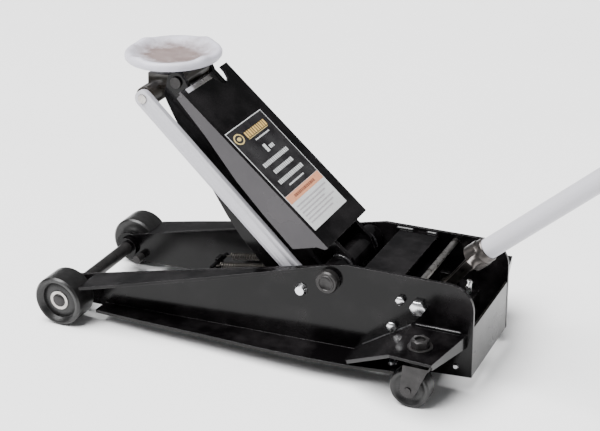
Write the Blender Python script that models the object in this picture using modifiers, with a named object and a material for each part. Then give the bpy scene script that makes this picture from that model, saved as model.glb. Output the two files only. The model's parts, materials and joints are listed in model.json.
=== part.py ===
"""A hydraulic floor jack (trolley jack), lifting arm part raised, in metres with +Z up.

Every size below is in millimetres. X runs from the front axle to the handle, Y across, Z up from
the floor. Left is the -Y side. The row's origin is the middle of the footprint, on the floor.
"""

from math import cos, hypot, pi, radians, sin

import bmesh
import bpy
from mathutils import Matrix, Vector

MM = 0.001

# Frame: two pressed side plates, bent out at the top and the bottom.
WEB_OUTER = 86.0
SHEET = 5.0
WEB_INNER = WEB_OUTER - SHEET
PLATE_REAR_X = 681.0
PLATE_TOP_Z = 172.5
PLATE_REAR_BOTTOM_Z = 26.0
PLATE_CORNER_R = 39.0
NOSE_R = 25.0
TOP_LINE = ((18.0, 67.6), (478.0, PLATE_TOP_Z))
BOTTOM_LINE = ((70.0, 18.5), (598.0, 31.5))
TOP_FLANGE_EDGE = ((38.0, 138.0), (112.0, 131.0), (181.0, 122.5), (248.0, 115.0), (345.0, 101.0),
                   (392.0, 94.0), (455.0, 84.0))
BOTTOM_FLANGE_EDGE = ((52.0, 115.0), (139.0, 122.0), (250.0, 128.0), (358.0, 135.0), (427.0, 138.0),
                      (497.0, 137.0), (575.0, 129.0), (590.0, 104.0))

# Front wheels and axle.
WHEEL_R = 42.0
WHEEL_OUTER_Y = 146.5
WHEEL_WIDTH = 47.0
AXLE_R = 11.0

# Casters.
CASTER_Y = 146.5
KINGPIN_X = 622.0
CASTER_AXLE_X = 610.5
CASTER_R = 30.8
CASTER_WIDTH = 27.0
SHELF_TOP_Z = 96.8
SHELF_SHEET = 4.0

# Lifting linkage: a parallelogram that keeps the saddle level.
ARM_PIVOT = (453.6, 143.1)
LINK_PIVOT = (407.2, 118.5)
ARM_LENGTH = 377.0
ARM_ANGLE = radians(44.4)
COVER_TILT = radians(2.5)
ARM_SIDE_Y = 45.0
ARM_SIDE_T = 8.0
COVER_HALF_WIDTH = 75.5
COVER_SHEET = 4.0
COVER_OFFSET = 30.5
COVER_LOW = 36.0
COVER_HIGH = 358.0
ARM_SHAFT_R = 15.0
LINK_OUTER_Y = 70.6
LINK_T = 9.0
LINK_HALF_WIDTH = 13.5
LINK_PIN_R = 8.0
SADDLE_PIN_R = 9.0

# Saddle.
SADDLE_X = 156.0
SADDLE_RIM_Z = 440.0
SADDLE_R = 76.0

# Power unit, ram and springs.
UNIT_FRONT_X = 530.0
UNIT_REAR_X = 628.0
RAM_Z = 78.0
RAM_PIN_FROM_ARM_PIVOT = (-65.6, -59.0)
RAM_PIN_R = 9.0
SPRING_FRONT = (221.0, 92.0)
SPRING_REAR_FROM_ARM_PIVOT = (-104.0, -31.0)
SPRING_Y = 19.0
SPRING_R = 5.2
SPRING_WIRE_R = 1.2

# Handle.
HANDLE_PIVOT = (601.5, 112.0)
HANDLE_ANGLE = radians(40.6)
HANDLE_THROUGH = (661.4, 187.8)
HANDLE_R = 16.0
HANDLE_START = -12.0
HANDLE_LENGTH = 1000.0
GRIP_LENGTH = 120.0
GRIP_R = 18.5
GRIP_ROUND = 5.0

GAP = 0.3

HANDLE_REACH = (HANDLE_START + HANDLE_LENGTH) * cos(HANDLE_ANGLE)
HANDLE_END_X = HANDLE_THROUGH[0] + HANDLE_REACH + (GRIP_R - GRIP_ROUND) * sin(HANDLE_ANGLE)
ORIGIN_X = (HANDLE_END_X - WHEEL_R) / 2

COLOURS = {
    "black_paint": (0.012, 0.012, 0.013, 0.0, 0.28),
    "white_paint": (0.80, 0.80, 0.79, 0.0, 0.35),
    "saddle_cast": (0.74, 0.72, 0.72, 0.0, 0.55),
    "zinc": (0.72, 0.72, 0.72, 1.0, 0.28),
    "black_oxide": (0.05, 0.048, 0.045, 0.8, 0.45),
    "wheel_iron": (0.06, 0.058, 0.052, 0.3, 0.5),
    "bright_steel": (0.60, 0.58, 0.56, 1.0, 0.35),
    "rubber": (0.02, 0.02, 0.02, 0.0, 0.7),
}


def clear_scene():
    for old in list(bpy.data.objects):
        bpy.data.objects.remove(old, do_unlink=True)


def new_collection(name):
    found = bpy.data.collections.new(name)
    bpy.context.scene.collection.children.link(found)
    return found


def material(name, kind):
    red, green, blue, metallic, roughness = COLOURS[kind]
    made = bpy.data.materials.new(name)
    made.use_nodes = True
    shader = made.node_tree.nodes["Principled BSDF"]
    shader.inputs["Base Color"].default_value = (red, green, blue, 1.0)
    shader.inputs["Metallic"].default_value = metallic
    shader.inputs["Roughness"].default_value = roughness
    return made


def finish(obj, kind, collection=None):
    """Puts an object in the jack, under the row's origin, with its own material."""
    (collection or PARTS).objects.link(obj)
    obj.parent = ROOT
    obj.data.materials.append(material(obj.name + "_finish", kind))
    return obj


def cutter(obj):
    """Hides an object that only shapes another one."""
    for home in list(obj.users_collection):
        home.objects.unlink(obj)
    CUTTERS.objects.link(obj)
    obj.hide_render = True
    obj.display_type = "WIRE"
    return obj


def combine(target, others, operation):
    for other in others:
        modifier = target.modifiers.new(operation.title() + "_" + other.name, "BOOLEAN")
        modifier.operation = operation
        modifier.solver = "EXACT"
        modifier.object = cutter(other)
    return target


def join(target, others):
    return combine(target, others, "UNION")


def cut(target, others):
    return combine(target, others, "DIFFERENCE")


def bevelled(obj, width, segments=2):
    modifier = obj.modifiers.new("Edges", "BEVEL")
    modifier.width = width * MM
    modifier.segments = segments
    modifier.limit_method = "ANGLE"
    modifier.angle_limit = radians(40)
    return obj


def smooth(obj):
    for face in obj.data.polygons:
        face.use_smooth = True
    obj.data.set_sharp_from_angle(angle=radians(40))
    return obj


def mesh_object(name, mesh_tool):
    mesh = bpy.data.meshes.new(name)
    mesh_tool.to_mesh(mesh)
    mesh_tool.free()
    return bpy.data.objects.new(name, mesh)


def box(name, low, high, kind):
    """A block between two corners."""
    size = [(b - a) * MM for a, b in zip(low, high)]
    middle = [(a + b) / 2 * MM for a, b in zip(low, high)]
    tool = bmesh.new()
    bmesh.ops.create_cube(tool, size=1.0, matrix=Matrix.Diagonal((*size, 1.0)))
    obj = finish(mesh_object(name, tool), kind)
    obj.location = middle
    return obj


def rod(name, start, end, radius, kind, sides=32, end_radius=None, turn=0.0):
    """A round bar, or a hexagon with sides=6, from one point to another."""
    start, end = Vector(start) * MM, Vector(end) * MM
    tool = bmesh.new()
    bmesh.ops.create_cone(
        tool,
        cap_ends=True,
        segments=sides,
        radius1=radius * MM,
        radius2=(end_radius or radius) * MM,
        depth=(end - start).length,
        matrix=Matrix.Rotation(turn, 4, "Z"),
    )
    obj = finish(mesh_object(name, tool), kind)
    obj.location = (start + end) / 2
    obj.rotation_euler = (end - start).to_track_quat("Z", "Y").to_euler()
    return smooth(obj) if sides > 8 else obj


def turned(name, profile, centre, axis, kind, steps=40):
    """A solid of revolution. The profile is (radius, height) along the axis, closed round a bore."""
    hollow = profile[0][0] > 0
    loop = list(zip(profile, [*profile[1:], profile[0]]))
    if sum(a[0] * b[1] - b[0] * a[1] for a, b in loop) > 0:
        profile = list(reversed(profile))
    mesh = bpy.data.meshes.new(name)
    points = [(radius * MM, 0.0, height * MM) for radius, height in profile]
    count = len(points)
    edges = [(i, i + 1) for i in range(count - 1)] + ([(count - 1, 0)] if hollow else [])
    mesh.from_pydata(points, edges, [])
    obj = finish(bpy.data.objects.new(name, mesh), kind)
    screw = obj.modifiers.new("Turn", "SCREW")
    screw.axis = "Z"
    screw.steps = steps
    screw.render_steps = steps
    screw.use_merge_vertices = True
    screw.merge_threshold = 0.00005
    screw.use_smooth_shade = True
    obj.location = Vector(centre) * MM
    obj.rotation_euler = Vector(axis).to_track_quat("Z", "Y").to_euler()
    return obj


def as_mesh(obj):
    """Turns a curve object into a welded mesh object in the same place, so that it takes a Boolean."""
    bpy.context.view_layer.update()
    graph = bpy.context.evaluated_depsgraph_get()
    mesh = bpy.data.meshes.new_from_object(obj.evaluated_get(graph), depsgraph=graph)
    tool = bmesh.new()
    tool.from_mesh(mesh)
    bmesh.ops.remove_doubles(tool, verts=tool.verts, dist=1e-6)
    bmesh.ops.recalc_face_normals(tool, faces=tool.faces)
    tool.to_mesh(mesh)
    tool.free()
    name, place, parent, homes = obj.name, obj.matrix_basis.copy(), obj.parent, list(obj.users_collection)
    bpy.data.objects.remove(obj, do_unlink=True)
    solid = bpy.data.objects.new(name, mesh)
    for home in homes:
        home.objects.link(solid)
    solid.parent = parent
    solid.matrix_basis = place
    return solid


def plate(name, outline, thickness, kind, holes=()):
    """A flat outline with round holes, (u, v) in its own plane, half its thickness to each side."""
    curve = bpy.data.curves.new(name, "CURVE")
    curve.dimensions = "2D"
    curve.fill_mode = "BOTH"
    curve.extrude = thickness / 2 * MM
    rings = [outline]
    for (u, v), radius in holes:
        rings.append([(u + radius * cos(a), v + radius * sin(a)) for a in turn_steps(32)])
    for ring in rings:
        spline = curve.splines.new("POLY")
        spline.points.add(len(ring) - 1)
        spline.use_cyclic_u = True
        for point, (u, v) in zip(spline.points, ring):
            point.co = (u * MM, v * MM, 0.0, 1.0)
    return as_mesh(finish(bpy.data.objects.new(name, curve), kind))


def turn_steps(count):
    return [2 * pi * i / count for i in range(count)]


def arc(centre, radius, start, end, steps=8):
    """Points on an arc, its angles in degrees."""
    angles = [radians(start + (end - start) * i / steps) for i in range(steps + 1)]
    return [(centre[0] + radius * cos(a), centre[1] + radius * sin(a)) for a in angles]


def axes(origin, x_axis, y_axis):
    """The placing of an object whose own x and y run along the two given directions."""
    x_axis, y_axis = Vector(x_axis).normalized(), Vector(y_axis).normalized()
    turn = Matrix((x_axis, y_axis, x_axis.cross(y_axis))).transposed().to_4x4()
    return Matrix.Translation(Vector(origin) * MM) @ turn


def upright(obj, y):
    """Stands a plate's (u, v) outline up as (x, z), with its middle at y."""
    obj.matrix_basis = axes((0, y, 0), (1, 0, 0), (0, 0, 1))
    return obj


def side_view(obj, origin, toward, y):
    """Stands a plate up with u running from the origin (x, z) toward the (x, z) direction."""
    x, z = toward
    obj.matrix_basis = axes((origin[0], y, origin[1]), (x, 0, z), (z, 0, -x))
    return obj


def sides():
    return (("left", -1), ("right", 1))


# Frame ----------------------------------------------------------------------------------------------


def web_outline():
    nose = arc((0.0, WHEEL_R), NOSE_R, 75, 262, 10)
    corner = arc((PLATE_REAR_X - PLATE_CORNER_R, PLATE_TOP_Z - PLATE_CORNER_R), PLATE_CORNER_R, 0, 90)
    return [*nose, *BOTTOM_LINE, (606.0, 21.5), (PLATE_REAR_X, PLATE_REAR_BOTTOM_Z), *corner, *reversed(TOP_LINE)]


def flange(name, edge, start, end, height, side):
    """A sheet from the middle of the web out to its free edge, in the plane through start and end."""
    slope = (end[1] - start[1]) / (end[0] - start[0])
    stretch = hypot(1.0, slope)
    root = WEB_OUTER - SHEET / 2
    outline = [(edge[0][0], root), *edge, (edge[-1][0], root)]
    sheet = plate(name, [((x - start[0]) * stretch, y) for x, y in outline], SHEET, "black_paint")
    sheet.matrix_basis = axes((start[0], 0, start[1] + height), (1, 0, slope), (0, side, 0))
    return sheet


def side_plate(name, side):
    holes = (
        ((0.0, WHEEL_R), AXLE_R + GAP),
        (ARM_PIVOT, ARM_SHAFT_R + GAP),
        (LINK_PIVOT, LINK_PIN_R + GAP),
    )
    web = plate(f"side_plate_{name}", web_outline(), SHEET, "black_paint", holes)
    upright(web, side * (WEB_OUTER - SHEET / 2))
    top = flange(f"top_flange_{name}", TOP_FLANGE_EDGE, *TOP_LINE, -SHEET / 2 - 0.5, side)
    bottom = flange(f"bottom_flange_{name}", BOTTOM_FLANGE_EDGE, *BOTTOM_LINE, SHEET / 2 + 0.4, side)
    return join(web, [top, bottom])


def caster_bracket(name, side):
    """A ramp and a shelf on the bottom flange, with a lip turned down along the slanted rear edge."""
    t, top = SHELF_SHEET, SHELF_TOP_Z
    section = ((497.0, 39.0), (588.0, top), (680.0, top), (680.0, top - t), (590.5, top - t), (503.0, 36.5))
    bracket = plate(f"caster_bracket_{name}", section, 110.0, "black_paint")
    upright(bracket, side * (WEB_OUTER + GAP + 55.0))
    plan = ((490.0, 60.0), (499.0, 134.0), (590.0, 186.5), (655.0, 191.0), (673.0, WEB_OUTER), (677.0, 60.0))
    trim = plate(f"bracket_plan_{name}", [(x, side * y) for x, y in plan], 140.0, "black_paint")
    trim.location = (0.0, 0.0, 70.0 * MM)
    combine(bracket, [trim], "INTERSECT")
    lip = plate(f"bracket_lip_{name}", [(0, top - 0.6), (0, 75), (103, 87), (103, top - 0.6)], 3.4,
                "black_paint")
    lip.matrix_basis = axes((671.2, side * (WEB_OUTER + GAP), 0), (-18, side * 105, 0), (0, 0, 1))
    join(bracket, [lip])
    place = (KINGPIN_X, side * CASTER_Y)
    hole = rod(f"kingpin_hole_{name}", (*place, 80), (*place, 110), 8.0 + GAP, "black_paint")
    return cut(bracket, [hole])


def front_axle():
    reach = WHEEL_OUTER_Y - 6.0
    rod("front_axle", (0, -reach, WHEEL_R), (0, reach, WHEEL_R), AXLE_R, "black_oxide")
    for name, side in sides():
        ring = [(AXLE_R + GAP, 0), (18, 0), (18, 8), (AXLE_R + GAP, 8)]
        centre = (0, side * (WEB_INNER - GAP), WHEEL_R)
        turned(f"axle_collar_{name}", ring, centre, (0, -side, 0), "black_oxide", 32)
    start = (24, WEB_INNER - GAP, 27)
    rod("front_stop_stud", start, (24, WEB_INNER - 18, 27), 7.0, "black_oxide", 20)


def rear_cover():
    half = WEB_INNER - GAP
    outline = [(-half, PLATE_REAR_BOTTOM_Z), (half, PLATE_REAR_BOTTOM_Z), (half, 107.0), (-half, 107.0)]
    cover = plate("rear_cover", outline, 3.0, "black_paint")
    cover.matrix_basis = axes((PLATE_REAR_X - 2.0, 0, 0), (0, 1, 0), (0, 0, 1))
    for name, side in sides():
        head = (656.6, side * (WEB_OUTER + GAP), 41.0)
        rod(f"cover_screw_{name}", head, (656.6, side * (WEB_OUTER + 3.5), 41.0), 4.5, "zinc", 12, 3.2)


def cross_members():
    half = WEB_INNER - GAP
    top = box("top_cover", (505.0, -half, 163.0), (568.0, half, 167.0), "black_paint")
    lip = box("top_cover_lip", (505.0, -half, 148.0), (509.0, half, 165.0), "black_paint")
    join(top, [lip])
    rod("tie_rod", (595.0, -half, 161.0), (595.0, half, 161.0), 5.0, "black_oxide", 20)


def spring_anchor():
    """A floor strap between the plates, with a tongue that holds the front hooks of the springs."""
    half = WEB_INNER - GAP
    x, z = SPRING_FRONT
    strap = box("spring_anchor", (x - 16, -half, 27.0), (x + 16, half, 31.0), "black_paint")
    tongue = box("anchor_tongue", (x - 3, -9, 29.0), (x + 3, 9, z + 8), "black_paint")
    cross = rod("anchor_cross_pin", (x, -27, z), (x, 27, z), 3.5, "black_paint", 16)
    return join(strap, [tongue, cross])


# Power unit -----------------------------------------------------------------------------------------


def power_unit():
    half = WEB_INNER - 2.0
    block = box("power_unit", (UNIT_FRONT_X, -half, 40.0), (UNIT_REAR_X, half, 98.0), "black_paint")
    tower = box("unit_tower", (542.0, -half, 90.0), (580.0, half, 140.0), "black_paint")
    ears = []
    for name, side in sides():
        low = (586.0, min(side * 36, side * 44), 90.0)
        high = (616.0, max(side * 36, side * 44), 126.0)
        ears.append(box(f"unit_ear_{name}", low, high, "black_paint"))
    tail = box("unit_tail", (620.0, -16, 50.0), (656.0, 16, 118.0), "black_paint")
    neck = rod("ram_neck", (UNIT_FRONT_X - 40, 0, RAM_Z), (UNIT_FRONT_X + 6, 0, RAM_Z), 27.0, "black_paint")
    join(block, [tower, *ears, tail, neck])
    bore = rod("ram_bore", (UNIT_FRONT_X - 45, 0, RAM_Z), (UNIT_REAR_X - 12, 0, RAM_Z), 16.0 + GAP,
               "black_paint")
    pump = rod("pump_bore", (552.0, 0, 112.0), (600.0, 0, 112.0), 7.0 + GAP, "black_paint", 24)
    pivot = rod("handle_pivot_hole", (HANDLE_PIVOT[0], -90, HANDLE_PIVOT[1]),
                (HANDLE_PIVOT[0], 90, HANDLE_PIVOT[1]), 8.0 + GAP, "black_paint", 24)
    return cut(block, [bore, pump, pivot])


def hex_bolt(name, x, z, side, across, height, kind="zinc"):
    """A bolt head on the outside of a side plate."""
    start = (x, side * (WEB_OUTER + GAP), z)
    end = (x, side * (WEB_OUTER + GAP + height), z)
    return bevelled(rod(name, start, end, across / 2 / cos(pi / 6), kind, 6, turn=pi / 6), 1.0, 1)


def unit_bolts():
    left = ((597.0, 127.0, 22.0, 9.0), (569.0, 133.2, 13.0, 7.0), (556.0, 87.6, 14.5, 7.0),
            (570.5, 61.5, 13.0, 7.0))
    for number, (x, z, across, height) in enumerate(left, 1):
        hex_bolt(f"unit_bolt_left_{number}", x, z, -1, across, height)
    for number, (x, z, across, height) in enumerate(left[:1], 1):
        hex_bolt(f"unit_bolt_right_{number}", x, z, 1, across, height)
    for name, side in sides():
        place = (567.0, side * 112.0)
        foot = rod(f"flange_bolt_{name}", (*place, 36.9), (*place, 44.0), 8.0, "zinc", 6)
        bevelled(foot, 1.0, 1)


def ram_pin_place():
    return ARM_PIVOT[0] + RAM_PIN_FROM_ARM_PIVOT[0], ARM_PIVOT[1] + RAM_PIN_FROM_ARM_PIVOT[1]


def ram_piston():
    """A rod with a tall pad that pushes the pin in the arm forward."""
    face = ram_pin_place()[0] + RAM_PIN_R + 7.0
    piston = rod("ram_piston", (face + 6, 0, RAM_Z), (face + 140, 0, RAM_Z), 16.0, "bright_steel")
    pad = box("ram_pad", (face, -26, RAM_Z - 32), (face + 12, 26, RAM_Z + 34), "bright_steel")
    return join(piston, [pad])


def hooked_spring(name, y):
    """A coil with a straight hook wire at each end."""
    front = Vector((SPRING_FRONT[0] + 4.6, y, SPRING_FRONT[1]))
    rear = Vector((ARM_PIVOT[0] + SPRING_REAR_FROM_ARM_PIVOT[0] - 5.2, y,
                   ARM_PIVOT[1] + SPRING_REAR_FROM_ARM_PIVOT[1]))
    along = (rear - front).normalized()
    across = along.cross(Vector((0, 1, 0))).normalized()
    length = (rear - front).length
    lead = 9.0
    turns, per_turn = 13, 6
    points = [front]
    for i in range(turns * per_turn + 1):
        angle = 2 * pi * i / per_turn
        offset = across * cos(angle) + Vector((0, 1, 0)) * sin(angle)
        points.append(front + along * (lead + (length - 2 * lead) * i / (turns * per_turn))
                      + offset * SPRING_R)
    points.append(rear)
    curve = bpy.data.curves.new(name, "CURVE")
    curve.dimensions = "3D"
    curve.bevel_depth = SPRING_WIRE_R * MM
    curve.bevel_resolution = 0
    curve.use_fill_caps = True
    spline = curve.splines.new("POLY")
    spline.points.add(len(points) - 1)
    for target, point in zip(spline.points, points):
        target.co = (*(point * MM), 1.0)
    return finish(bpy.data.objects.new(name, curve), "black_oxide")


# Lifting arm ----------------------------------------------------------------------------------------


def cover_direction():
    angle = ARM_ANGLE - COVER_TILT
    return -cos(angle), sin(angle)


def place_on_arm(obj, y=0.0):
    """Puts a plate's outline of (along the cover, up from it) on the arm, measured from the pivot."""
    return side_view(obj, ARM_PIVOT, cover_direction(), y)


def place_flat_on_arm(obj, along, up):
    """Lays an object's own x along the arm's cover and its z up from it."""
    x, z = cover_direction()
    place = (ARM_PIVOT[0] + along * x + up * z, 0, ARM_PIVOT[1] + along * z - up * x)
    obj.matrix_basis = axes(place, (x, 0, z), (0, -1, 0))
    return obj


def saddle_pin_on_arm():
    return ARM_LENGTH * cos(COVER_TILT), -ARM_LENGTH * sin(COVER_TILT)


def arm_side(name, side):
    pin = saddle_pin_on_arm()
    tip = arc(pin, 16.0, -75, 25, 6)
    outline = [(-20, -17), (0, -26.0), (359, -26.0), (366, -29.0), *tip, (380, 14), (372, 19),
               (349, 28.6), (321, 39), (250, 64), (180, 86), (140, 95), (100, 99), (60, 101), (44, 96),
               (4, 46), (-18, 20), (-26, 4), (-26, -6)]
    holes = (((0.0, 0.0), ARM_SHAFT_R + 7.0 + GAP), (pin, SADDLE_PIN_R + GAP))
    plate_ = plate(f"arm_side_{name}", [(a, -d) for a, d in outline], ARM_SIDE_T, "black_paint",
                   [((a, -d), r) for (a, d), r in holes])
    return place_on_arm(plate_, side * (ARM_SIDE_Y - ARM_SIDE_T / 2))


def arm_cover():
    """The wide top skin, its bent-down sides deepening towards the pivot, and a hook by the saddle."""
    low, high, half, t = COVER_LOW, COVER_HIGH, COVER_HALF_WIDTH, COVER_SHEET
    top = box("arm_cover", (low, -half, COVER_OFFSET - t), (high, half, COVER_OFFSET), "black_paint")
    skirts = []
    for name, side in sides():
        outline = [(low + 1, COVER_OFFSET - 1), (high - 3, COVER_OFFSET - 1), (high - 3, 17.5), (286, 8.5),
                   (205, -7.0), (140, -13.5), (71, -17.5), (low + 12, 17.0), (low + 1, 24.0)]
        skirt = plate(f"cover_skirt_{name}", outline, t, "black_paint")
        skirts.append(place_on_arm(skirt, side * (half - t / 2)))
    place_flat_on_arm(top, (low + high) / 2, COVER_OFFSET - t / 2)
    join(top, skirts)
    notch = [(10, -17.0), (-12, -17.5), (-22, -22), (-27, -30), (-26, -41), (-20, -50), (-10, -55), (10, -56)]
    slot = plate("hook_notch", notch, 20.0, "black_paint")
    place_flat_on_arm(slot, high, COVER_OFFSET - t / 2)
    return cut(top, [slot])


def arm_hub():
    reach = WEB_INNER - 2.0
    ring = [(ARM_SHAFT_R + GAP, -reach), (ARM_SHAFT_R + 7, -reach), (ARM_SHAFT_R + 7, reach),
            (ARM_SHAFT_R + GAP, reach)]
    centre = (ARM_PIVOT[0], 0, ARM_PIVOT[1])
    turned("arm_hub", ring, centre, (0, 1, 0), "black_paint", 32)


def arm_pins():
    inside = ARM_SIDE_Y - ARM_SIDE_T - GAP
    x, z = ram_pin_place()
    rod("ram_pin", (x, -inside, z), (x, inside, z), RAM_PIN_R, "bright_steel", 24)
    x = ARM_PIVOT[0] + SPRING_REAR_FROM_ARM_PIVOT[0]
    z = ARM_PIVOT[1] + SPRING_REAR_FROM_ARM_PIVOT[1]
    rod("spring_pin", (x, -inside, z), (x, inside, z), 4.0, "bright_steel", 16)
    x, z = saddle_pin_place()
    rod("saddle_pin", (x, -49, z), (x, 49, z), SADDLE_PIN_R, "black_oxide", 28)


def saddle_pin_place():
    return (ARM_PIVOT[0] - ARM_LENGTH * cos(ARM_ANGLE), ARM_PIVOT[1] + ARM_LENGTH * sin(ARM_ANGLE))


def link_pin_place():
    x, z = saddle_pin_place()
    return x + LINK_PIVOT[0] - ARM_PIVOT[0], z + LINK_PIVOT[1] - ARM_PIVOT[1]


def arm_shaft():
    x, z = ARM_PIVOT
    rod("arm_shaft", (x, -WEB_OUTER, z), (x, WEB_OUTER, z), ARM_SHAFT_R, "bright_steel")
    for name, side in sides():
        cap = [(0, 0), (18, 0), (18, 10), (16.2, 13), (12, 14), (11, 12.6), (0, 12.6)]
        centre = (x, side * (WEB_OUTER + GAP), z)
        turned(f"arm_nut_{name}", cap, centre, (0, side, 0), "black_oxide", 36)
    x, z = LINK_PIVOT
    for name, side in sides():
        stub = rod(f"link_bolt_{name}", (x, side * (LINK_OUTER_Y - LINK_T), z),
                   (x, side * (WEB_OUTER + 1.2), z), LINK_PIN_R, "zinc", 28)
        head = rod(f"link_bolt_head_{name}", (x, side * (WEB_OUTER + GAP), z),
                   (x, side * (WEB_OUTER + 8), z), 10.5, "zinc", 28, 7.0)
        join(stub, [head])


def radius_link(name, side):
    low, high = LINK_PIVOT, link_pin_place()
    length = hypot(high[0] - low[0], high[1] - low[1])
    r = LINK_HALF_WIDTH
    outline = arc((0, 0), r, 90, 270, 8) + arc((length, 0), r, -90, 90, 8)
    holes = (((0.0, 0.0), LINK_PIN_R + GAP), ((length, 0.0), LINK_PIN_R - 1.0 + GAP))
    link = plate(f"radius_link_{name}", outline, LINK_T, "white_paint", holes)
    side_view(link, low, (high[0] - low[0], high[1] - low[1]), side * (LINK_OUTER_Y - LINK_T / 2))
    return bevelled(link, 1.2, 1)


# Saddle ---------------------------------------------------------------------------------------------


def saddle_bracket():
    half = ARM_SIDE_Y - ARM_SIDE_T - 1.0
    px, pz = saddle_pin_place()
    lx, lz = link_pin_place()
    seat_z = SADDLE_RIM_Z - 27.0
    outline = [(lx - 8, seat_z), (lx - 9, lz + 12), *arc((lx, lz), 17.0, 150, 320, 8),
               (px - 3, pz - 15), *arc((px, pz), 15.0, -80, 60, 6), (px - 8, seat_z)]
    body = plate("saddle_bracket", outline, 2 * half, "black_paint")
    upright(body, 0.0)
    reach = LINK_OUTER_Y - LINK_T - 1.0
    boss = rod("link_boss", (lx, -reach, lz), (lx, reach, lz), 16.5, "black_paint")
    join(body, [boss])
    link_bore = rod("link_pin_bore", (lx, -90, lz), (lx, 90, lz), LINK_PIN_R - 1.0 + GAP, "black_paint", 28)
    pin_bore = rod("saddle_pin_bore", (px, -90, pz), (px, 90, pz), SADDLE_PIN_R + GAP, "black_paint", 28)
    socket = rod("saddle_socket", (SADDLE_X, 0, seat_z - 22), (SADDLE_X, 0, seat_z + 10), 11.0 + GAP,
                 "black_paint")
    cut(body, [link_bore, pin_bore, socket])
    rod("link_pin", (lx, -LINK_OUTER_Y - 1.6, lz), (lx, LINK_OUTER_Y + 1.6, lz), LINK_PIN_R - 1.0,
        "bright_steel", 28)


def saddle():
    """A dished pad with four low teeth on its rim and a stem down into the bracket."""
    z = SADDLE_RIM_Z
    seat = z - 27.0
    profile = [(0, 434 - z), (44, 434 - z), (56, 438.5 - z), (70, 1.0), (75, 0.0), (SADDLE_R, -3.0),
               (74.5, -8.0), (58, -12.0), (34, -16.5), (17, -18), (16, seat + 1.0 - z), (11, seat + 1.0 - z),
               (11, seat - 20 - z), (0, seat - 20 - z)]
    dish = turned("saddle", profile, (SADDLE_X, 0, z), (0, 0, 1), "saddle_cast", 40)
    teeth = []
    for number in range(4):
        angle = radians(70 + 90 * number)
        tooth = box(f"saddle_tooth_{number}", (-4.5, -12.5, -6), (4.5, 12.5, 8), "saddle_cast")
        tooth.location = (Vector((SADDLE_X, 0, z)) + 69 * Vector((cos(angle), sin(angle), 0))) * MM
        tooth.rotation_euler = (0, 0, angle)
        teeth.append(tooth)
    return join(dish, teeth)


# Wheels and casters ---------------------------------------------------------------------------------


def front_wheel(name, side):
    """A solid wheel with a recessed outer face and a bright bearing ring round the axle end."""
    r, w = WHEEL_R, WHEEL_WIDTH
    bore = AXLE_R + 5.5
    profile = [(bore, 2), (24, 2), (26, 0), (r - 3, 0), (r, 3), (r, w - 3), (r - 3, w), (r - 8, w),
               (r - 10, w - 9), (30, w - 9), (29, w - 8), (bore, w - 8)]
    outer = side * WHEEL_OUTER_Y
    centre = (0, outer - side * w, WHEEL_R)
    turned(f"front_wheel_{name}", profile, centre, (0, side, 0), "wheel_iron", 36)
    ring = [(AXLE_R + GAP, 3), (bore - GAP, 3), (bore - GAP, w - 6.5), (AXLE_R + GAP, w - 6.5)]
    turned(f"wheel_bearing_{name}", ring, centre, (0, side, 0), "bright_steel", 32)


def caster(name, side):
    x, y = KINGPIN_X, side * CASTER_Y
    ax, az = CASTER_AXLE_X, CASTER_R
    half = CASTER_WIDTH / 2 + 1.2
    top = az + CASTER_R + 6.0
    crown = box(f"caster_fork_{name}", (x - 20, y - half - 3, top), (x + 19, y + half + 3, top + 4),
                "black_oxide")
    legs = []
    for label, edge in (("in", -1), ("out", 1)):
        outline = [(x - 20, top + 3.5), (ax - 12, az + 2), *arc((ax, az), 12.0, 185, 330, 8),
                   (x + 19, top + 3.5)]
        leg = plate(f"fork_leg_{name}_{label}", outline, 3.0, "black_oxide", [((ax, az), 5.0 + GAP)])
        legs.append(upright(leg, y + edge * (half + 1.5)))
    race = rod(f"fork_race_{name}", (x, y, top + 2), (x, y, SHELF_TOP_Z - SHELF_SHEET - GAP), 17.0,
               "black_oxide", 28)
    pin = rod(f"kingpin_{name}", (x, y, top + 2), (x, y, SHELF_TOP_Z + 9.0), 8.0, "black_oxide", 24)
    join(crown, [*legs, race, pin])
    nut = rod(f"kingpin_nut_{name}", (x, y, SHELF_TOP_Z + GAP), (x, y, SHELF_TOP_Z + 13.0), 14.5,
              "black_oxide", 6)
    bevelled(nut, 1.2, 1)
    cut(nut, [rod(f"nut_bore_{name}", (x, y, SHELF_TOP_Z - 3), (x, y, SHELF_TOP_Z + 20), 8.0 + GAP,
                  "black_oxide", 24)])
    w, r = CASTER_WIDTH, CASTER_R
    profile = [(5.0 + GAP, 0), (12, 0), (13, 3.5), (r - 8, 3.5), (r - 6, 0), (r - 2, 0), (r, 2.5),
               (r, w - 2.5), (r - 2, w), (r - 6, w), (r - 8, w - 3.5), (13, w - 3.5), (12, w), (5.0 + GAP, w)]
    turned(f"caster_wheel_{name}", profile, (ax, y - w / 2, az), (0, 1, 0), "wheel_iron", 32)
    reach = half + 5.0
    rod(f"caster_axle_{name}", (ax, y - reach, az), (ax, y + reach, az), 5.0, "black_oxide", 20)


# Handle ---------------------------------------------------------------------------------------------


def along_handle(distance, across=0.0, y=0.0):
    """A point on the handle's axis, or up from it, from where the tube leaves its collar."""
    x, z = HANDLE_THROUGH
    return (x + distance * cos(HANDLE_ANGLE) - across * sin(HANDLE_ANGLE), y,
            z + distance * sin(HANDLE_ANGLE) + across * cos(HANDLE_ANGLE))


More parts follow.
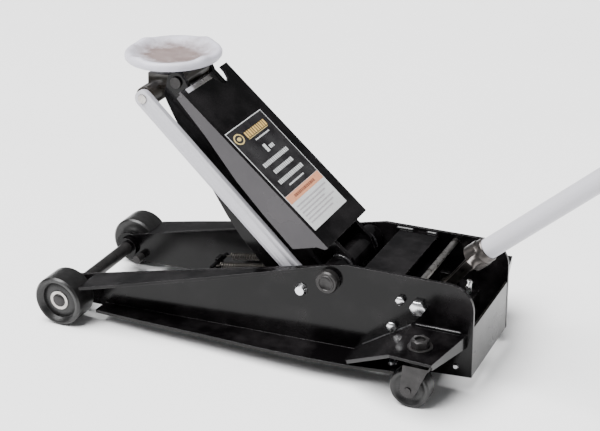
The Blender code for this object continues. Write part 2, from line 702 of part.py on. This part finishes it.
def handle_socket():
    """A collar round the handle, on two narrow arms that pivot on the power unit."""
    px, pz = HANDLE_PIVOT
    collar = rod("handle_socket", along_handle(-16), along_handle(4), HANDLE_R + 4.5, "bright_steel", 36)
    end = along_handle(-10)
    toward = (end[0] - px, end[2] - pz)
    length = hypot(*toward)
    arms = []
    for name, side in sides():
        outline = [*arc((0, 0), 12.0, 50, 310, 10), (16, -7), (length, -7), (length, 7), (16, 7)]
        arm = plate(f"socket_arm_{name}", outline, 9.0, "bright_steel", [((0.0, 0.0), 8.0 + GAP)])
        arms.append(side_view(arm, HANDLE_PIVOT, toward, side * 25.0))
    bridge = rod("socket_bridge", (end[0] - 1, -29, end[2] - 3), (end[0] - 1, 29, end[2] - 3), 8.0,
                 "bright_steel", 20)
    join(collar, [bridge, *arms])
    bore = rod("socket_bore", along_handle(HANDLE_START - 0.4), along_handle(40), HANDLE_R + GAP,
               "bright_steel", 36)
    cut(collar, [bore])
    rod("handle_pin", (px, -46, pz), (px, 46, pz), 8.0, "bright_steel", 24)


def handle():
    """A long tube with a closed rubber grip over its end, turning together in the collar."""
    start = HANDLE_START
    grip_from = start + HANDLE_LENGTH - GRIP_LENGTH
    direction = (cos(HANDLE_ANGLE), 0, sin(HANDLE_ANGLE))
    reach, wall = grip_from + 40 - start, 2.5
    ring = [(HANDLE_R - wall, 0), (HANDLE_R, 0), (HANDLE_R, reach), (HANDLE_R - wall, reach)]
    turned("handle_tube", ring, along_handle(start), direction, "white_paint", 32)
    round_ = GRIP_ROUND
    sleeve = [(0, GRIP_LENGTH), (GRIP_R - round_, GRIP_LENGTH), (GRIP_R, GRIP_LENGTH - round_), (GRIP_R, 2),
              (HANDLE_R + GAP, 0), (HANDLE_R + GAP, 41), (0, 41)]
    turned("handle_grip", sleeve, along_handle(grip_from), direction, "rubber", 28)


def pump_and_valve():
    rod("pump_plunger", (562.0, 0, 112.0), (589.0, 0, 112.0), 7.0, "bright_steel", 24)
    stem = rod("release_valve", (645, 0, 118 + GAP), (645, 0, 140), 4.0, "zinc", 16)
    cross = rod("valve_cross", (645, -9, 133), (645, 9, 133), 3.0, "zinc", 12)
    return join(stem, [cross])


clear_scene()
PARTS = new_collection("floor_jack")
CUTTERS = new_collection("cutters")
CUTTERS.hide_render = True
ROOT = bpy.data.objects.new("jack_origin", None)
PARTS.objects.link(ROOT)
ROOT.location = (-ORIGIN_X * MM, 0.0, 0.0)

for label, direction in sides():
    side_plate(label, direction)
    caster_bracket(label, direction)
    arm_side(label, direction)
    radius_link(label, direction)
    front_wheel(label, direction)
    caster(label, direction)
    hooked_spring(f"return_spring_{label}", direction * SPRING_Y)
front_axle()
rear_cover()
cross_members()
spring_anchor()
power_unit()
unit_bolts()
ram_piston()
arm_cover()
arm_hub()
arm_pins()
arm_shaft()
saddle_bracket()
saddle()
handle_socket()
handle()
pump_and_valve()
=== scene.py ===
"""The looks of a hydraulic floor jack: gloss black paint, white handle and links, pale cast saddle."""

import json
import random
from math import cos, exp, pi, radians, sin

import bmesh
import bpy
from mathutils import Matrix, Vector


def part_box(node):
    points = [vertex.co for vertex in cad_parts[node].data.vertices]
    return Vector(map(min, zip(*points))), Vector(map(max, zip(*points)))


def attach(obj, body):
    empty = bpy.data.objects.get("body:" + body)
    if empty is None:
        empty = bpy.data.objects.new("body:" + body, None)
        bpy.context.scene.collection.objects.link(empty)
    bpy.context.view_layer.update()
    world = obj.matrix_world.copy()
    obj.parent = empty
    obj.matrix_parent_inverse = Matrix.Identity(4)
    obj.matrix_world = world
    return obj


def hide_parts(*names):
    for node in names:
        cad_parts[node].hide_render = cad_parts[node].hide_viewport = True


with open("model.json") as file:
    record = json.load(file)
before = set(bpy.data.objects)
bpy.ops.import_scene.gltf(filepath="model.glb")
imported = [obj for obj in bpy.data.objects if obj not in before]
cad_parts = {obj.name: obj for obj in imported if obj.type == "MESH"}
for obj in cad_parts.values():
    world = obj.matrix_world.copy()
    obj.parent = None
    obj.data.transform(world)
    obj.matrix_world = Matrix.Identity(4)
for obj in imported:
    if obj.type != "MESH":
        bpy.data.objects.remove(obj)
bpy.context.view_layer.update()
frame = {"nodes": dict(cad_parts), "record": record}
NODES = frame["nodes"]
BODY_OF = {node: body for body, nodes in frame["record"]["behaviour"]["bodies"].items() for node in nodes}
SLOT_OF = {part["node"]: part["material_slot"] for part in frame["record"]["subparts"]}
SIDES = (("left", -1), ("right", 1))


def middle(node):
    low, high = (Vector(corner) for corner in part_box(node))
    return (low + high) / 2


AXLE_X = middle("front_axle").x


def at(x, y, z):
    """A point of the jack, in millimetres from the front axle's line on the floor."""
    return Vector((AXLE_X + x / 1000, y / 1000, z / 1000))


# Arm frame: along the cover from the pivot, and up from it.
PIVOT = middle("arm_shaft")
ARM_TURN = radians(44.4 - 2.5)
ARM_ALONG = Vector((-cos(ARM_TURN), 0, sin(ARM_TURN)))
ARM_UP = Vector((sin(ARM_TURN), 0, cos(ARM_TURN)))


def on_arm(along, across, up):
    return PIVOT + ARM_ALONG * along / 1000 + Vector((0, across / 1000, 0)) + ARM_UP * up / 1000


# Materials ------------------------------------------------------------------------------------------


class Nodes:
    """Short calls for building one material's nodes."""

    def __init__(self, name):
        self.material = bpy.data.materials.new(name)
        self.material.use_nodes = True
        self.tree = self.material.node_tree
        self.shader = self.tree.nodes["Principled BSDF"]
        self.place = self.add("ShaderNodeTexCoord").outputs["Object"]

    def add(self, kind, **settings):
        node = self.tree.nodes.new(kind)
        for key, value in settings.items():
            setattr(node, key, value)
        return node

    def link(self, start, end):
        self.tree.links.new(start, end)

    def set(self, **values):
        for key, value in values.items():
            self.shader.inputs[key.replace("_", " ")].default_value = value

    def noise(self, scale, detail=3.0, roughness=0.5, stretch=None):
        where = self.place
        if stretch:
            mapping = self.add("ShaderNodeMapping")
            mapping.inputs["Scale"].default_value = stretch
            self.link(where, mapping.inputs["Vector"])
            where = mapping.outputs["Vector"]
        node = self.add("ShaderNodeTexNoise")
        node.inputs["Scale"].default_value = scale
        node.inputs["Detail"].default_value = detail
        node.inputs["Roughness"].default_value = roughness
        self.link(where, node.inputs["Vector"])
        return node.outputs["Fac"]

    def ranged(self, value, low, high, to_low=0.0, to_high=1.0):
        node = self.add("ShaderNodeMapRange")
        for key, number in (("From Min", low), ("From Max", high), ("To Min", to_low), ("To Max", to_high)):
            node.inputs[key].default_value = number
        self.link(value, node.inputs["Value"])
        return node.outputs["Result"]

    def maths(self, operation, first, second):
        node = self.add("ShaderNodeMath", operation=operation)
        for index, value in enumerate((first, second)):
            if isinstance(value, (int, float)):
                node.inputs[index].default_value = value
            else:
                self.link(value, node.inputs[index])
        return node.outputs[0]

    def mixed(self, factor, first, second):
        node = self.add("ShaderNodeMix", data_type="RGBA")
        self.link(factor, node.inputs["Factor"])
        for key, value in (("A", first), ("B", second)):
            socket = next(s for s in node.inputs if s.name == key and s.type == "RGBA")
            if isinstance(value, tuple):
                socket.default_value = (*value, 1.0)
            else:
                self.link(value, socket)
        return next(s for s in node.outputs if s.type == "RGBA")

    def rounded(self, radius):
        node = self.add("ShaderNodeBevel", samples=4)
        node.inputs["Radius"].default_value = radius
        return node.outputs["Normal"]

    def edges(self, radius=0.0018):
        """Near 1 on outer and inner edges, near 0 on open faces."""
        true_normal = self.add("ShaderNodeNewGeometry").outputs["Normal"]
        dot = self.add("ShaderNodeVectorMath", operation="DOT_PRODUCT")
        self.link(self.rounded(radius), dot.inputs[0])
        self.link(true_normal, dot.inputs[1])
        return self.ranged(dot.outputs["Value"], 0.97, 0.72)

    def relief(self, *layers, radius=0.0009):
        """Bumps from (height, strength, distance) layers over rounded edges."""
        normal = self.rounded(radius)
        for height, strength, distance in layers:
            bump = self.add("ShaderNodeBump")
            bump.inputs["Strength"].default_value = strength
            bump.inputs["Distance"].default_value = distance
            self.link(height, bump.inputs["Height"])
            self.link(normal, bump.inputs["Normal"])
            normal = bump.outputs["Normal"]
        self.link(normal, self.shader.inputs["Normal"])


def paint(name, colour, worn, roughness, wear=0.5, coat=0.0, gloss=0.4):
    """Sprayed paint: orange peel, slow waves in the sheet, dust in patches and thin paint on edges."""
    m = Nodes(name)
    m.set(Metallic=0.0, Coat_Weight=coat, Coat_Roughness=0.12, IOR=1.5, Specular_IOR_Level=gloss)
    patches = m.noise(14, 4, 0.6)
    dusty = m.ranged(patches, 0.45, 0.75, 0.0, 0.35)
    body = m.mixed(dusty, colour, tuple(0.75 * a + 0.25 * b for a, b in zip(colour, worn)))
    chips = m.ranged(m.noise(220, 4, 0.65), 0.42, 0.62)
    rubbed = m.maths("MULTIPLY", m.edges(), m.maths("MULTIPLY", chips, wear))
    m.link(m.mixed(rubbed, body, worn), m.shader.inputs["Base Color"])
    m.link(m.maths("ADD", m.ranged(patches, 0.3, 0.8, roughness * 0.85, roughness * 1.3),
                   m.maths("MULTIPLY", rubbed, 0.2)), m.shader.inputs["Roughness"])
    m.relief((m.noise(9, 2), 0.16, 0.004), (m.noise(520, 2), 0.07, 0.0004))
    return m.material


def metal(name, colour, dark, roughness, grain=None, metallic=1.0, bump=0.12):
    """Plated or bare steel: fine grain, stains in patches and brighter rubbed edges."""
    m = Nodes(name)
    m.set(Metallic=metallic)
    stains = m.ranged(m.noise(60, 5, 0.65), 0.38, 0.7)
    body = m.mixed(stains, colour, dark)
    bright = tuple(min(1.0, c * 1.5 + 0.05) for c in colour)
    m.link(m.mixed(m.maths("MULTIPLY", m.edges(0.001), 0.5), body, bright), m.shader.inputs["Base Color"])
    m.link(m.ranged(m.noise(90, 3), 0.3, 0.7, roughness * 0.8, roughness * 1.25),
           m.shader.inputs["Roughness"])
    m.relief((m.noise(700, 3, 0.6, grain), bump, 0.0003), radius=0.0006)
    return m.material


def casting(name, colour, dark, roughness, metallic=0.0):
    """Painted cast iron: sand texture with coarse lumps, dirt in the low spots."""
    m = Nodes(name)
    m.set(Metallic=metallic)
    lumps, sand = m.noise(110, 3, 0.6), m.noise(900, 2, 0.7)
    body = m.mixed(m.ranged(lumps, 0.35, 0.65), dark, colour)
    bright = tuple(min(1, 1.25 * c + 0.03) for c in colour)
    m.link(m.mixed(m.maths("MULTIPLY", m.edges(), 0.45), body, bright), m.shader.inputs["Base Color"])
    m.link(m.ranged(sand, 0.3, 0.7, roughness * 0.85, roughness * 1.15), m.shader.inputs["Roughness"])
    m.relief((lumps, 0.3, 0.0012), (sand, 0.25, 0.0004))
    return m.material


def saddle_finish():
    """Off-white paint, worn to pinkish brown where loads sit, with painted shade that deepens towards the
    recessed middle.
    """
    m = Nodes("saddle_finish")
    centre = middle("saddle")
    offset = m.add("ShaderNodeVectorMath", operation="SUBTRACT")
    m.link(m.place, offset.inputs[0])
    offset.inputs[1].default_value = (centre.x, centre.y, 0.0)
    flat = m.add("ShaderNodeVectorMath", operation="MULTIPLY")
    m.link(offset.outputs["Vector"], flat.inputs[0])
    flat.inputs[1].default_value = (1.0, 1.0, 0.0)
    radius = m.add("ShaderNodeVectorMath", operation="LENGTH")
    m.link(flat.outputs["Vector"], radius.inputs[0])
    blotch = m.noise(45, 5, 0.65)
    reach = m.maths("ADD", radius.outputs["Value"], m.ranged(blotch, 0.3, 0.7, -0.012, 0.012))
    split = m.add("ShaderNodeSeparateXYZ")
    m.link(m.place, split.inputs[0])
    top = m.ranged(split.outputs["Z"], 0.424, 0.431)
    # The mask marks pinkish-brown wear and painted shade in one: darker on the top surface the nearer it is
    # to the recessed middle.
    worn = m.maths("MULTIPLY", m.ranged(reach, 0.068, 0.034), top)
    # pinkish brown of the wear, darkened as painted shade
    shade = m.mixed(m.ranged(blotch, 0.35, 0.65), (0.13, 0.085, 0.07), (0.19, 0.14, 0.125))
    body = m.mixed(m.ranged(m.noise(18, 4), 0.4, 0.75), (0.56, 0.55, 0.62), (0.42, 0.41, 0.45))
    m.link(m.mixed(m.maths("MULTIPLY", worn, 0.9), body, shade), m.shader.inputs["Base Color"])
    m.link(m.ranged(blotch, 0.3, 0.7, 0.32, 0.5), m.shader.inputs["Roughness"])
    m.relief((m.noise(160, 3), 0.14, 0.0008), (m.noise(900, 2), 0.1, 0.0003), radius=0.0014)
    return m.material


def rubber_finish():
    m = Nodes("rubber_finish")
    m.set(Specular_IOR_Level=0.35)
    m.link(m.mixed(m.ranged(m.noise(40, 4), 0.35, 0.7), (0.014, 0.014, 0.015), (0.03, 0.029, 0.028)),
           m.shader.inputs["Base Color"])
    m.link(m.ranged(m.noise(200, 3), 0.3, 0.7, 0.55, 0.75), m.shader.inputs["Roughness"])
    m.relief((m.noise(1100, 2), 0.3, 0.0003))
    return m.material


def printed(name, colour, roughness=0.3):
    """Ink on a glossy film."""
    m = Nodes(name)
    m.set(Coat_Weight=0.3, Coat_Roughness=0.1)
    faded = tuple(c * 0.86 + 0.02 for c in colour)
    m.link(m.mixed(m.ranged(m.noise(35, 4), 0.35, 0.7), colour, faded), m.shader.inputs["Base Color"])
    m.link(m.ranged(m.noise(160, 3), 0.3, 0.7, roughness * 0.85, roughness * 1.2),
           m.shader.inputs["Roughness"])
    m.relief((m.noise(300, 2), 0.05, 0.0003), radius=0.0002)
    return m.material


BLACK = paint("black_paint", (0.0014, 0.0012, 0.0014), (0.12, 0.11, 0.115), 0.15, 0.5, gloss=0.2)
# A paler black for the arm cover's bent sides: a painted sheen standing in for the light they catch.
SKIRT_SHEEN = paint("skirt_painted_sheen", (0.025, 0.022, 0.026), (0.14, 0.13, 0.13), 0.24, 0.5, gloss=0.5)
CARRIER = paint("carrier_paint", (0.020, 0.0165, 0.013), (0.16, 0.13, 0.11), 0.3, 0.8, gloss=0.4)
COVER = paint("cover_paint", (0.0040, 0.0038, 0.0030), (0.12, 0.11, 0.10), 0.26, 0.5)
WHITE = paint("white_paint", (0.47, 0.465, 0.50), (0.30, 0.28, 0.28), 0.3, 0.25, 0.1, 0.5)
ZINC = metal("zinc_plate", (0.78, 0.78, 0.80), (0.60, 0.60, 0.60), 0.26)
STEEL = metal("bright_steel", (0.55, 0.53, 0.51), (0.30, 0.28, 0.26), 0.3, (1, 14, 1))
COLLAR = metal("collar_steel", (0.11, 0.10, 0.095), (0.045, 0.042, 0.04), 0.32)
OXIDE = metal("black_oxide", (0.035, 0.033, 0.033), (0.018, 0.017, 0.017), 0.34, metallic=0.6)
IRON = casting("wheel_iron", (0.012, 0.0115, 0.0115), (0.006, 0.0058, 0.0058), 0.34, 0.2)
WELD = casting("weld_bead", (0.020, 0.019, 0.020), (0.011, 0.011, 0.012), 0.24)
SPRING = metal("spring_wire", (0.12, 0.11, 0.10), (0.05, 0.045, 0.04), 0.34, metallic=0.85)
FINISH = {
    "gloss_black_paint": BLACK, "white_paint": WHITE, "cast_saddle": saddle_finish(), "zinc_plate": ZINC,
    "black_oxide": OXIDE, "wheel_iron": IRON, "bright_steel": STEEL, "rubber_grip": rubber_finish(),
}


SPECIAL = {
    "handle_socket": COLLAR, "front_stop_stud": OXIDE, "front_axle": OXIDE, "rear_cover": COVER,
    "saddle_bracket": CARRIER,
}
SKIN_SMOOTH = 24  # sharper edges than this many degrees stay sharp
FLAT = {"side_plate_left", "side_plate_right", "caster_bracket_left", "caster_bracket_right", "arm_cover",
        "arm_side_left", "arm_side_right", "rear_cover", "top_cover", "spring_anchor", "power_unit"}


# Pieces ---------------------------------------------------------------------------------------------


def piece(name, mesh_tool, body, slot, *materials, smooth=35):
    mesh = bpy.data.meshes.new(name)
    mesh_tool.to_mesh(mesh)
    mesh_tool.free()
    obj = bpy.data.objects.new(name, mesh)
    bpy.context.scene.collection.objects.link(obj)
    for material in materials:
        mesh.materials.append(material)
    mesh.polygons.foreach_set("use_smooth", [smooth > 0] * len(mesh.polygons))
    if smooth:
        mesh.set_sharp_from_angle(angle=radians(smooth))
    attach(obj, body)
    return obj


def shaded_copy(node):
    """The node's own shape with smooth shading on its round faces. The arm cover's bent sides get a paler
    paint, a painted sheen for the light they catch.
    """
    tool = bmesh.new()
    tool.from_mesh(NODES[node].data)
    bmesh.ops.remove_doubles(tool, verts=tool.verts, dist=0.00001)
    finishes = [SPECIAL.get(node, FINISH[SLOT_OF[node]])]
    if node == "arm_cover":
        tool.normal_update()
        for face in tool.faces:
            face.material_index = int(abs(face.normal.y) > 0.5)
        # painted sheen: the bent sides take the paler paint
        finishes.append(SKIRT_SHEEN)
    smooth = 0 if node in FLAT else SKIN_SMOOTH
    made = piece(node + "_skin", tool, BODY_OF[node], SLOT_OF[node], *finishes, smooth=smooth)
    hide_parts(node)


def add_block(tool, corners, material=0):
    """A block from its four bottom corners and four top corners."""
    points = [tool.verts.new(corner) for corner in corners]
    for face in ((3, 2, 1, 0), (4, 5, 6, 7), (0, 1, 5, 4), (1, 2, 6, 5), (2, 3, 7, 6), (3, 0, 4, 7)):
        tool.faces.new([points[i] for i in face]).material_index = material


def add_patch(tool, along, across, up, material):
    """A thin rectangle of film lying on the arm's cover."""
    corners = [on_arm(a, b, h) for h in up for a, b in
               ((along[0], across[0]), (along[0], across[1]), (along[1], across[1]), (along[1], across[0]))]
    add_block(tool, corners, material)


def add_oval(tool, along, across, radii, up, material, count=32):
    rings = []
    for height in up:
        rings.append([tool.verts.new(on_arm(along + radii[0] * cos(2 * pi * i / count),
                                            across + radii[1] * sin(2 * pi * i / count), height))
                      for i in range(count)])
    for i in range(count):
        after = (i + 1) % count
        tool.faces.new((rings[0][i], rings[0][after], rings[1][after], rings[1][i])).material_index = material
    tool.faces.new(rings[1]).material_index = material


def add_line(tool, rng, along, height, start, end, up, material, word=(5.0, 14.0)):
    """A row of short bars, as plain filler in place of print."""
    across = start
    while across < end - 3:
        length = min(rng.uniform(*word), end - across)
        add_patch(tool, (along, along + height), (across, across + length), up, material)
        across += length + max(0.9, height * 0.22)


def label():
    """A plain decal with filler bars on the arm's cover."""
    rng = random.Random(7)
    tool = bmesh.new()
    low, high, near, far = 68.0, 266.0, -68.0, 52.0
    base, film, ink = (30.35, 30.75), (30.7, 30.85), (30.8, 30.95)
    split, band = low + 0.34 * (high - low), low + 0.265 * (high - low)
    add_patch(tool, (low, high), (near, far), base, 0)
    add_patch(tool, (split, high - 1.5), (near + 1.5, far - 1.5), film, 1)
    add_patch(tool, (band, split - 0.6), (near + 1.5, far - 1.5), film, 2)
    add_oval(tool, high - 19, near + 19, (9.5, 13.0), film[1:] + (31.0,), 3)
    add_oval(tool, high - 19, near + 19, (7.0, 10.0), (31.0, 31.12), 1)
    add_oval(tool, high - 19, near + 19, (3.2, 5.6), (31.1, 31.22), 3)
    add_line(tool, rng, high - 26, 11.0, near + 40, far - 14, ink, 4, (3.5, 6.5))
    add_line(tool, rng, high - 28.5, 1.2, near + 40, far - 16, ink, 3, (90, 95))
    add_line(tool, rng, high - 36, 2.4, near + 52, far - 20, ink, 0, (3, 7))
    add_patch(tool, (high - 61, high - 47), (-14, -6), ink, 0)
    add_line(tool, rng, high - 59, 6.0, -1, 14, ink, 0, (3, 4))
    for number, (start, end) in enumerate(((-50, 36), (-40, 26), (-50, 34))):
        add_line(tool, rng, high - 78 - 17 * number, 7.0, start, end, ink, 0, (2.6, 4.6))
    add_line(tool, rng, high - 122, 2.6, -34, 20, ink, 0, (3, 6))
    add_line(tool, rng, band + 4.5, 5.0, -44, 30, ink, 5, (3, 6))
    for number in range(6):
        end = far - 8 - 12 * (number % 3)
        add_line(tool, rng, band - 9 - 6.4 * number, 2.4, near + 8, end, ink, 6, (4, 12))
    piece("arm_label", tool, "lift_arm", "gloss_black_paint",
          printed("label_white", (0.55, 0.56, 0.56)), printed("label_black", (0.004, 0.003, 0.004)),
          printed("label_peach", (0.62, 0.27, 0.15)), printed("label_gold", (0.52, 0.40, 0.16)),
          printed("label_ochre", (0.60, 0.40, 0.13)), printed("label_brown", (0.20, 0.07, 0.04)),
          printed("label_grey", (0.36, 0.34, 0.36)), smooth=0)


def coil(name, node, side):
    """A close-wound spring with a hook at each end, in place of its coarse one."""
    low, high = (Vector(corner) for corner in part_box(node))
    y = side * 0.019
    front = Vector((low.x + 0.0014, y, low.z + 0.0048))
    rear = Vector((high.x - 0.0014, y, high.z - 0.0048))
    along = (rear - front).normalized()
    across = along.cross(Vector((0, 1, 0)))
    length, lead, turns, per_turn = (rear - front).length, 0.009, 22, 14
    points = [front, front + along * lead * 0.6]
    for i in range(turns * per_turn + 1):
        angle = 2 * pi * i / per_turn
        offset = across * cos(angle) + Vector((0, 1, 0)) * sin(angle)
        points.append(front + along * (lead + (length - 2 * lead) * i / (turns * per_turn)) + offset * 0.0052)
    points += [rear - along * lead * 0.6, rear]
    curve = bpy.data.curves.new(name, "CURVE")
    curve.dimensions = "3D"
    curve.bevel_depth = 0.0011
    curve.bevel_resolution = 3
    curve.use_fill_caps = True
    spline = curve.splines.new("POLY")
    spline.points.add(len(points) - 1)
    for target, point in zip(spline.points, points):
        target.co = (*point, 1.0)
    obj = bpy.data.objects.new(name, curve)
    bpy.context.scene.collection.objects.link(obj)
    curve.materials.append(SPRING)
    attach(obj, "frame")
    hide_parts(node)


def weld(name, body, points, size=3.2, squeeze=0.8):
    """A bead of overlapping ripples through the points."""
    rng = random.Random(len(points) + int(abs(points[0].z) * 1e5))
    tool = bmesh.new()
    for start, end in zip(points, points[1:]):
        count = max(2, round((end - start).length / (size * 0.00042)))
        for i in range(count + 1):
            where = start.lerp(end, i / count)
            radius = size / 1000 * rng.uniform(0.88, 1.1)
            matrix = Matrix.Translation(where) @ Matrix.Diagonal((radius, radius, radius * squeeze, 1.0))
            bmesh.ops.create_icosphere(tool, subdivisions=2, radius=1.0, matrix=matrix)
    return piece(name, tool, body, "gloss_black_paint", WELD, smooth=60)


def ring_points(centre, radius, y, start=0, end=360, count=28):
    return [centre + Vector((radius / 1000 * cos(radians(a)), y / 1000, radius / 1000 * sin(radians(a))))
            for a in (start + (end - start) * i / count for i in range(count + 1))]


def turned(name, profile, centre, axis, body, slot, material, steps=48):
    """A solid of revolution from (radius, height) points in millimetres."""
    tool = bmesh.new()
    turn = Matrix.Translation(centre) @ Vector(axis).to_track_quat("Z", "Y").to_matrix().to_4x4()
    points = [tool.verts.new(turn @ Vector((r / 1000, 0, h / 1000))) for r, h in profile]
    edges = [tool.edges.new(pair) for pair in zip(points, points[1:])]
    spin_axis = turn.to_3x3() @ Vector((0, 0, 1))
    bmesh.ops.spin(tool, geom=points + edges, cent=centre, axis=spin_axis, angle=2 * pi, steps=steps,
                   use_merge=True)
    bmesh.ops.remove_doubles(tool, verts=tool.verts, dist=0.00001)
    bmesh.ops.recalc_face_normals(tool, faces=tool.faces)
    return piece(name, tool, body, slot, material)


def soft_saddle():
    """The saddle with a rolled rim and four soft lugs, in place of its plain one."""
    centre = middle("saddle")
    profile = [(30, 434), (44, 434.4), (53, 436.2), (59, 439), (64, 441.8), (68, 443.2), (71.5, 443),
               (74.2, 441.2), (75.8, 437.8), (75.3, 433.8), (72, 430), (58, 426.6), (34, 422.4), (17, 421),
               (16, 413.2), (11, 413), (11, 392.2)]
    steps, lug_count, lug_turn, lug_width, lug_height = 96, 4, 70, 10, 3.3
    lug_from, lug_full, lug_above = 56, 64, 436
    tool = bmesh.new()
    rings = []
    for radius, height in profile:
        ring = []
        for i in range(steps):
            turn = 360 * i / steps
            off = min(abs((turn - lug_turn - 360 / lug_count * k + 180) % 360 - 180)
                      for k in range(lug_count))
            rise = max(0.0, min(1.0, (radius - lug_from) / (lug_full - lug_from)))
            rise = rise if height > lug_above else 0.0
            lug = lug_height * exp(-((off / lug_width) ** 2)) * rise
            ring.append(tool.verts.new((centre.x + radius / 1000 * cos(radians(turn)),
                                        centre.y + radius / 1000 * sin(radians(turn)),
                                        (height + lug) / 1000)))
        rings.append(ring)
    for inner, outer in zip(rings, rings[1:]):
        for i in range(steps):
            after = (i + 1) % steps
            tool.faces.new((inner[i], outer[i], outer[after], inner[after]))
    tool.faces.new(rings[0])
    tool.faces.new(rings[-1][::-1])
    bmesh.ops.recalc_face_normals(tool, faces=tool.faces)
    skin = piece("saddle_skin", tool, "saddle_pad", "cast_saddle", FINISH["cast_saddle"], smooth=60)
    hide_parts("saddle")


def welds():
    for name, side in SIDES:
        y = side * 80.6
        weld(f"weld_cover_front_{name}", "frame", [at(500, y, 167.6), at(523, y, 167.6)], 3.4)
        weld(f"weld_cover_rear_{name}", "frame", [at(550, y, 167.6), at(562, y, 167.6)], 3.2)
        weld(f"weld_hub_{name}", "lift_arm", ring_points(PIVOT, 23, side * 47.2, 200, 470), 2.8)
        weld(f"weld_ramp_{name}", "frame",
             [at(510, side * 87.5, 47), at(545, side * 87.5, 69.5), at(585, side * 87.5, 95.2)], 2.2)
        weld(f"weld_shelf_{name}", "frame", [at(594, side * 87.5, 98.2), at(662, side * 87.5, 98.2)], 2.2)


def washers():
    for name, side in SIDES:
        turned(f"wheel_groove_{name}", [(20, 0), (21, 0.7), (22.6, 0.7), (23.6, 0)],
               at(0, side * 137.5, 42), (0, side, 0), f"wheel_{name}", "wheel_iron", STEEL)
        turned(f"pivot_ring_{name}", [(10.4, 13.6), (11.2, 14.6), (12.6, 14.6), (13.4, 13.2)],
               PIVOT + Vector((0, side * 0.0863, 0)), (0, side, 0), "frame", "black_oxide", OXIDE)
        turned(f"axle_cap_{name}", [(0.01, 1.6), (6, 1.6), (9.6, 0.9), (10.6, 0), (10.6, -0.5)],
               at(0, side * 140.5, 42), (0, side, 0), "frame", "bright_steel", OXIDE)
        turned(f"kingpin_washer_{name}", [(14, 0), (18.5, 0), (18.5, 1.6), (14, 1.6)],
               at(622, side * 146.5, 96.9), (0, 0, 1), "frame", "black_oxide", OXIDE)


def cover_end():
    """Painted highlights across the cover's end by the saddle: a bright steel band for the light caught on
    the cover's bent lip, and a pale patch of white paint at its near corner.
    """
    for name, across, up, slot_name, finish in (
            # painted highlight: bright steel for the light on the cover's bent lip
            ("lip_highlight", (-44, 14), (30.3, 31.2), "bright_steel", STEEL),
            # painted highlight: a pale patch of white paint at the near corner
            ("corner_highlight", (-62, -45), (30.3, 31.8), "white_paint", WHITE)):
        tool = bmesh.new()
        add_patch(tool, (349, 356.5), across, up, 0)
        piece(f"cover_end_{name}", tool, "lift_arm", slot_name, finish, smooth=0)


def handle_ring():
    """A rolled ring where the tube leaves its collar."""
    turn = radians(40.6)
    direction = Vector((cos(turn), 0, sin(turn)))
    turned("handle_ring", [(16.2, 15.0), (17.6, 15.4), (18.8, 14.0), (19.0, 6.0), (19.6, 4.2), (16.2, 4.2)],
           at(661.4, 0, 187.8), direction, "handle_collar", "bright_steel", COLLAR)


for node_name in NODES:
    if node_name != "saddle" and not node_name.startswith("return_spring"):
        shaded_copy(node_name)
soft_saddle()
for label_side, way in SIDES:
    coil(f"spring_{label_side}", f"return_spring_{label_side}", way)
label()
welds()
washers()
cover_end()
handle_ring()


# Floor, light and camera ----------------------------------------------------------------------------


def floor():
    bpy.ops.mesh.primitive_plane_add(size=80, location=(0, 0, -0.0004))
    ground = bpy.context.object
    ground.name = "floor"
    m = Nodes("floor_finish")
    m.link(m.mixed(m.ranged(m.noise(2, 3), 0.3, 0.7), (0.90, 0.90, 0.90), (0.93, 0.93, 0.93)),
           m.shader.inputs["Base Color"])
    m.set(Roughness=0.85, Specular_IOR_Level=0.2)
    ground.data.materials.append(m.material)


def area_light(name, position, target, size, power, colour=(1, 1, 1)):
    light = bpy.data.lights.new(name, "AREA")
    light.shape = "RECTANGLE"
    light.size, light.size_y = size
    light.energy = power
    light.color = colour
    obj = bpy.data.objects.new(name, light)
    bpy.context.scene.collection.objects.link(obj)
    obj.location = position
    obj.rotation_euler = (Vector(target) - Vector(position)).to_track_quat("-Z", "Y").to_euler()


def lights():
    world = bpy.data.worlds.new("pale_room")
    bpy.context.scene.world = world
    world.use_nodes = True
    world.node_tree.nodes["Background"].inputs["Color"].default_value = (0.97, 0.98, 1.0, 1.0)
    world.node_tree.nodes["Background"].inputs["Strength"].default_value = 0.22
    sun = bpy.data.lights.new("overhead", "SUN")
    sun.energy = 9.0
    sun.angle = 0.9
    lamp = bpy.data.objects.new("overhead", sun)
    bpy.context.scene.collection.objects.link(lamp)
    lamp.rotation_euler = (radians(12), radians(-14), 0)
    area_light("key", (-1.6, -1.8, 2.2), (-0.3, 0, 0.15), (1.0, 1.0), 40)
    area_light("side", (2.4, -1.2, 1.2), (0, 0, 0.1), (0.8, 1.2), 4)


def camera():
    turn, down, roll = radians(25.02), radians(24.3), radians(-0.95)
    forward = Vector((-sin(turn) * cos(down), cos(turn) * cos(down), -sin(down)))
    right = Vector((cos(turn), sin(turn), 0))
    up = right.cross(forward)
    rolled_right = right * cos(roll) + up * sin(roll)
    rolled_up = up * cos(roll) - right * sin(roll)
    data = bpy.data.cameras.new("camera")
    data.lens = 88.783
    data.sensor_width = 36.0
    data.sensor_fit = "HORIZONTAL"
    data.clip_start = 0.05
    obj = bpy.data.objects.new("camera", data)
    bpy.context.scene.collection.objects.link(obj)
    turned_axes = Matrix((rolled_right, rolled_up, -forward)).transposed()
    obj.matrix_world = Matrix.Translation(at(1253.66, -1900.19, 1144.87)) @ turned_axes.to_4x4()
    bpy.context.scene.camera = obj


floor()
lights()
camera()
